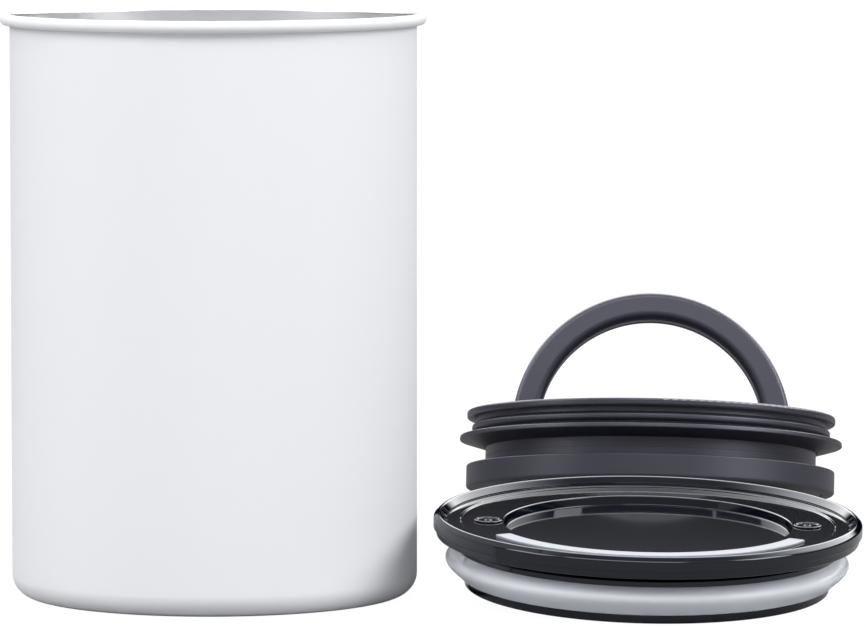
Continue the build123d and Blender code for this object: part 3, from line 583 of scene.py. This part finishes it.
# %% Handle ring and hubs
square_end = 0.001 * mm
half_thickness = handle_thickness / 2
groove_middle = -handle_thickness / 6
grip_outline = rounded([
    (handle_inner_radius, -half_thickness, handle_corner),
    (handle_outer_radius, -half_thickness, handle_corner),
    (handle_outer_radius, half_thickness, handle_corner),
    (handle_inner_radius, half_thickness, handle_grip_round),
    (handle_inner_radius, groove_middle + handle_groove_half, 0.15 * mm),
    (handle_inner_radius + handle_groove_depth, groove_middle + handle_groove_half, 0.1 * mm),
    (handle_inner_radius + handle_groove_depth, groove_middle - handle_groove_half, 0.1 * mm),
    (handle_inner_radius, groove_middle - handle_groove_half, 0.15 * mm),
])
stand_up = Matrix.Rotation(math.radians(90), 4, "X")
grip = carry_along(
    "handle_grip", grip_outline, handle_outer_radius, start=0, swept=180, steps=193, round_end=square_end,
    finish=black_plastic, place=handle_place @ stand_up)
hub_length = handle_width + 2 * handle_hub_overhang
hub_outline = rounded([
    (0, -hub_length / 2, 0),
    (handle_hub_radius, -hub_length / 2, 0.5 * mm),
    (handle_hub_radius, hub_length / 2, 0.5 * mm),
    (0, hub_length / 2, 0),
], closed=False)
along_x = Matrix.Rotation(math.radians(90), 4, "Y")
handle_middle = handle_outer_radius - handle_width / 2
hubs = [
    turn("handle_hub", [(hub_outline, False)], black_plastic,
         handle_place @ Matrix.Translation((side * handle_middle, 0, 0)) @ along_x, steps_round=96)
    for side in (-1, 1)
]


def join(name, parts):
    """One object from several that share a finish."""
    shape = bmesh.new()
    for part in parts:
        shape.from_mesh(part.data)
    shape.to_mesh(parts[0].data)
    shape.free()
    parts[0].name = name
    for part in parts[1:]:
        bpy.data.objects.remove(part)
    return parts[0]


handle = join("handle_moulding", [grip] + hubs)
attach(handle, "handle_set")
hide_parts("handle")

# %% [markdown]
# ## The outer lid
# One smoke-tinted moulding: a stepped flange that snaps over the rolled rim, a sloped rim, a flat shelf, a
# sunk floor, and a skirt that carries the soft ring. A tint this deep looks black and shows its outline only
# in thin highlights, so the edges need true rounding.

# %% Outer lid shell
lip_radius = outer_flange_radius - outer_flange_step
lip_inner = lip_radius - outer_wall / 2
skirt_inner = skirt_radius - outer_wall
well_radius = floor_edge_radius + outer_wall
ledge_bottom = seal_top + fit_gap
groove_radius = skirt_radius - seal_groove_depth
shelf_under = shelf_height - outer_wall
shell_outline = rounded([
    (0, floor_height - outer_wall, 0),
    (well_radius, floor_height - outer_wall, 0.5 * mm),
    (well_radius, shelf_under, 0.4 * mm),
    (skirt_inner, shelf_under, 0.4 * mm),
    (skirt_inner, 0, 0.4 * mm),
    (skirt_ring_radius, 0, 0.5 * mm),
    (skirt_ring_radius, skirt_ring_height, 0.4 * mm),
    (groove_radius, skirt_ring_height, 0.1 * mm),
    (groove_radius, ledge_bottom, 0.1 * mm),
    (ledge_radius, ledge_bottom, 0.25 * mm),
    (ledge_radius, ledge_bottom + ledge_height, 0.25 * mm),
    (skirt_radius, ledge_bottom + ledge_height, 0.3 * mm),
    (skirt_radius, shelf_under, 0.4 * mm),
    (lip_inner, shelf_under, 0.3 * mm),
    (lip_inner, outer_flange_bottom, 0.4 * mm),
    (lip_radius, outer_flange_bottom, 0.4 * mm),
    (lip_radius, outer_flange_step_height, 0.2 * mm),
    (outer_flange_radius, outer_flange_step_height, 0.4 * mm),
    (outer_flange_radius, outer_flange_top, 1.0 * mm),
    (rim_crest_radius, outer_lid_height, 0.9 * mm),
    (rim_inner_radius, rim_inner_height, 0.15 * mm),
    (rim_inner_radius, rim_inner_height - rim_step, 0.1 * mm),
    (shelf_radius + rim_step, shelf_height + rim_step, 0.15 * mm),
    (shelf_radius, shelf_height, 0.2 * mm),
    (floor_edge_radius + floor_wall_draft, shelf_height, 0.4 * mm),
    (floor_edge_radius, floor_height, 0.4 * mm),
    (0, floor_height, 0),
], closed=False)
shell = turn("tinted_shell", [(shell_outline, False)], smoked_plastic, outer_place)

# %% Bosses on the shelf
# Each boss is a low button with a ring-shaped hollow, given in shares of its radius and height.
boss_top = shelf_height + boss_height
boss_hollow = shelf_height + 0.5 * boss_height
boss_outline = rounded([
    (0, shelf_height - boss_sunk, 0),
    (boss_radius, shelf_height - boss_sunk, 0.1 * mm),
    (boss_radius, boss_top, 0.3 * mm),
    (0.82 * boss_radius, boss_top, 0.15 * mm),
    (0.78 * boss_radius, boss_hollow, 0.15 * mm),
    (0.26 * boss_radius, boss_hollow, 0.15 * mm),
    (0.2 * boss_radius, boss_top, 0.2 * mm),
    (0, boss_top, 0),
], closed=False)
bosses = [
    turn("boss", [(boss_outline, False)], smoked_plastic,
         outer_place @ Matrix.Translation((side * boss_offset, 0, 0)), steps_round=64)
    for side in (-1, 1)
]
shell = join("tinted_shell", [shell] + bosses)

# %% Milky ring
# The ring swells out between its two edges. A lift over 1 puts its widest place above the middle, and a
# fullness under 1 makes it rounder than a plain wave.
seal_inner = skirt_radius - seal_groove_depth + fit_gap
swell_steps = 24
swell_lift = 1.4
swell_fullness = 0.8


def swell_point(step):
    """Point of the ring's outer side, counted in steps from its lower edge."""
    wave = math.sin(math.pi * (step / swell_steps) ** swell_lift)
    return Vector((
        seal_root_radius + (seal_crest_radius - seal_root_radius) * wave ** swell_fullness,
        seal_bottom + (seal_top - seal_bottom) * step / swell_steps,
    ))


swell = [swell_point(step) for step in range(swell_steps + 1)]
seal_outline = [Vector((seal_inner, seal_bottom))] + swell + [Vector((seal_inner, seal_top))]
seal = turn("milky_ring", [(seal_outline, True)], milky_seal, outer_place)

# %% Strip with a painted highlight
# The strip is a low raised rib on the shelf. Its pale finish paints the highlight that the rib's front catches, so
# it reads lighter than the tinted shell around it.
strip_outline = rounded([
    (strip_radius - strip_half_width, -strip_sunk, 0.1 * mm),
    (strip_radius + strip_half_width, -strip_sunk, 0.1 * mm),
    (strip_radius + strip_half_width, strip_proud, 0.4 * mm),
    (strip_radius - strip_half_width, strip_proud, 0.25 * mm),
])
strip_reach = strip_half_angle + math.degrees(strip_half_width / strip_radius)
strip = carry_along(
    "painted_highlight_strip", strip_outline, strip_radius, start=-90 - strip_reach, swept=2 * strip_reach, steps=300,
    round_end=strip_half_width, finish=painted_highlight_strip,
    place=outer_place @ Matrix.Translation((0, 0, shelf_height)))
for piece, slot, node in (
    (shell, "smoked_plastic", "outer_lid_shell"),
    (seal, "clear_silicone", "outer_lid_seal"),
    (strip, "clear_silicone", "outer_lid_strip"),
):
    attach(piece, "outer_lid")
    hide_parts(node)

# %% [markdown]
# ## Finishes of the other pieces
# The rest of the frame keeps its own meshes, which are exact, and only gets the finer materials.

# %% Dress the frame's own pieces
finish_of_slot = {
    "coated_steel": powder_coat,
    "black_plastic": black_plastic,
    "black_rubber": black_rubber,
    "clear_silicone": milky_seal,
    "smoked_plastic": smoked_plastic,
    "steel": small_steel,
    "brass": brass,
    "white_plastic": white_plastic,
}
for subpart in frame["record"]["subparts"]:
    node = frame["nodes"][subpart["node"]]
    for holder in node.material_slots:
        holder.material = finish_of_slot[subpart["material_slot"]]

# %% [markdown]
# ## Stage, light and camera
# The picture is a plain studio shot: white all round, hardly a shadow, and a long lens from two metres. A
# white room lights the coat evenly, three large soft panels stand in front and at the sides, and a bright
# back wall draws the thin lights along the polished rim.

# %% Stage
# The floor glows only for the camera, straight on or through the soft ring, so it looks white. To every
# other ray it is plain grey, and lights the pieces from below no more than that.
glow_strength = 1.15
glow_share = 0.85
bpy.ops.mesh.primitive_plane_add(size=12, location=(0, 0, -0.1 * mm))
floor = bpy.context.object
floor.name = "floor"
floor_finish = new_finish("white_floor", (0.35, 0.35, 0.35), 0.9)
floor_tree = floor_finish.node_tree
glow = floor_tree.nodes.new("ShaderNodeEmission")
glow.inputs["Strength"].default_value = glow_strength
blend = floor_tree.nodes.new("ShaderNodeMixShader")
ray = floor_tree.nodes.new("ShaderNodeLightPath")
direct = maths(floor_tree, "MAXIMUM", ray.outputs["Is Camera Ray"], ray.outputs["Is Transmission Ray"])
floor_tree.links.new(maths(floor_tree, "MULTIPLY", direct, glow_share), blend.inputs["Fac"])
floor_tree.links.new(floor_tree.nodes["Principled BSDF"].outputs["BSDF"], blend.inputs[1])
floor_tree.links.new(glow.outputs["Emission"], blend.inputs[2])
floor_tree.links.new(blend.outputs["Shader"], floor_tree.nodes["Material Output"].inputs["Surface"])
floor.data.materials.append(floor_finish)


# %% Soft panels
def panel(name, width, height, place, power):
    """Rectangular soft light that faces the middle of the pieces."""
    light = bpy.data.lights.new(name, "AREA")
    light.shape = "RECTANGLE"
    light.size = width
    light.size_y = height
    light.energy = power
    lamp = bpy.data.objects.new(name, light)
    bpy.context.scene.collection.objects.link(lamp)
    lamp.location = place
    lamp.rotation_euler = (Vector(middle_of_pieces) - Vector(place)).to_track_quat("-Z", "Y").to_euler()


middle_of_pieces = (0.06, 0.05, 0.08)
panel("front_panel", 2.4, 0.9, (-0.3, -1.6, 1.9), power=32)
panel("left_panel", 1.2, 1.4, (-2.1, -0.8, 1.5), power=31)
panel("right_panel", 1.2, 1.4, (2.2, -0.8, 1.5), power=44)

# %% White room
white = (1, 1, 1, 1)
world = bpy.data.worlds.new("white_room")
bpy.context.scene.world = world
world.use_nodes = True
room_tree = world.node_tree
room = room_tree.nodes["Background"]
room.inputs["Color"].default_value = white
backdrop = room_tree.nodes.new("ShaderNodeBackground")
backdrop.inputs["Color"].default_value = white
backdrop.inputs["Strength"].default_value = 1.05
direction = room_tree.nodes.new("ShaderNodeTexCoord")
axes = room_tree.nodes.new("ShaderNodeSeparateXYZ")
room_tree.links.new(direction.outputs["Generated"], axes.inputs["Vector"])


def room_ramp(axis, from_values, to_values):
    """Strength that changes smoothly along one axis of the room."""
    ramp = room_tree.nodes.new("ShaderNodeMapRange")
    ramp.interpolation_type = "SMOOTHSTEP"
    names = ("From Min", "From Max", "To Min", "To Max")
    for name, value in zip(names, from_values + to_values):
        ramp.inputs[name].default_value = value
    room_tree.links.new(axes.outputs[axis], ramp.inputs["Value"])
    return ramp.outputs["Result"]


# %% Light of the room
# The back wall is at full strength only in reflections, so it draws thin lights without whitening the tops.
plain_share = 0.3
mirrored_share = 0.7
horizon = room_ramp("Y", (-0.6, 0.2), (0.40, 0.0))
ceiling = room_ramp("Z", (0.27, 0.40), (0.0, 1.0))
behind = room_ramp("Y", (-0.1, 0.45), (0.3, 5.0))
seen = room_tree.nodes.new("ShaderNodeLightPath")
mirrored = maths(room_tree, "MULTIPLY_ADD", seen.outputs["Is Glossy Ray"], mirrored_share, plain_share)
back_light = maths(room_tree, "MULTIPLY", mirrored, behind)
room_light = maths(room_tree, "MULTIPLY_ADD", ceiling, back_light, horizon)
room_tree.links.new(room_light, room.inputs["Strength"])
through = maths(room_tree, "MAXIMUM", seen.outputs["Is Camera Ray"], seen.outputs["Is Transmission Ray"])
choose = room_tree.nodes.new("ShaderNodeMixShader")
room_tree.links.new(through, choose.inputs["Fac"])
room_tree.links.new(room.outputs["Background"], choose.inputs[1])
room_tree.links.new(backdrop.outputs["Background"], choose.inputs[2])
room_tree.links.new(choose.outputs["Shader"], room_tree.nodes["World Output"].inputs["Surface"])
print("room nodes:", len(room_tree.nodes))

# %% Camera
photo_width = 866
focal_pixels = 6747.65
sensor_width = 36
camera_pitch = 4.773
camera_data = bpy.data.cameras.new("camera")
camera_data.sensor_width = sensor_width
camera_data.lens = focal_pixels * sensor_width / photo_width
camera = bpy.data.objects.new("camera", camera_data)
bpy.context.scene.collection.objects.link(camera)
camera.location = (65.08 * mm, -2.0, 250.9 * mm)
camera.rotation_euler = (math.radians(90 - camera_pitch), 0, 0)
bpy.context.scene.camera = camera
bpy.context.scene.view_settings.view_transform = "Standard"
print("lens", round(camera_data.lens, 1), "mm")
